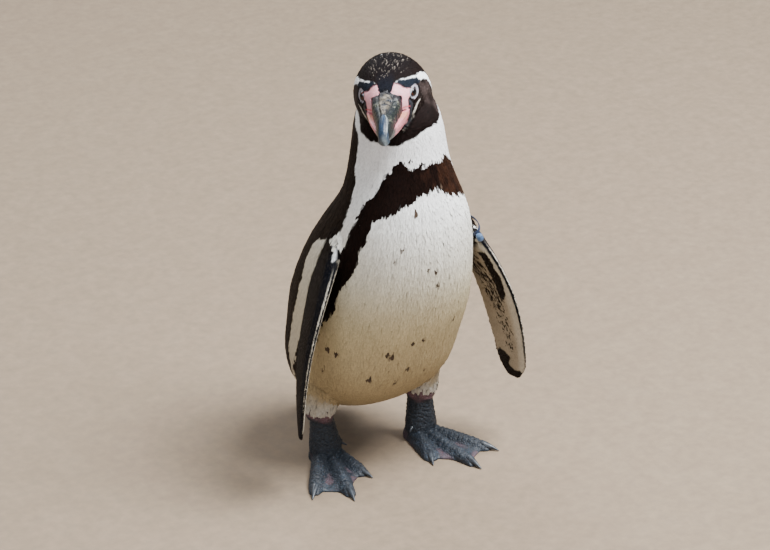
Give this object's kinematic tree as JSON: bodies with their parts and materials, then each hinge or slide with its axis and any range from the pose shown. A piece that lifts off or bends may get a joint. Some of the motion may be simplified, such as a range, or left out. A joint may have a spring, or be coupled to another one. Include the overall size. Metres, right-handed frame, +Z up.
{
  "type": "humboldt penguin",
  "caption": "Still life-size Humboldt penguin standing on webbed feet, head turned to its right, flippers held a little away from the body, with a tag round the left one.",
  "frame": {"origin": "on the floor, under the middle of the bounding box", "axes": "+Z up, the bird's body faces -Y and its left side is +X"},
  "size_m": [0.2612, 0.2374, 0.4487],
  "materials": {
    "dark_plumage": "dark brown-black short feathers, matt",
    "white_plumage": "white to cream short feathers, matt",
    "horn": "dark grey horn, half gloss",
    "flushed_skin": "bare pink skin, soft sheen",
    "foot_skin": "blue-black scaly skin",
    "claw": "blue-grey horn",
    "eye": "dark brown, wet gloss",
    "band": "blue-black plastic strip",
    "bead": "pale blue plastic"
  },
  "bodies": {
    "root": {"trunk": "white_plumage", "neck": "dark_plumage", "head": "dark_plumage", "tail": "dark_plumage", "flipper_left": "dark_plumage", "flipper_right": "dark_plumage", "leg_left": "white_plumage", "leg_right": "white_plumage", "foot_left": "foot_skin", "foot_right": "foot_skin", "bill_upper": "horn", "bill_lower": "flushed_skin", "eye_left": "eye", "eye_right": "eye", "band_strip": "band", "band_bead": "bead", "claw_left_inner": "claw", "claw_left_middle": "claw", "claw_left_outer": "claw", "claw_left_hind": "claw", "claw_right_inner": "claw", "claw_right_middle": "claw", "claw_right_outer": "claw", "claw_right_hind": "claw"}
  },
  "joints": []
}
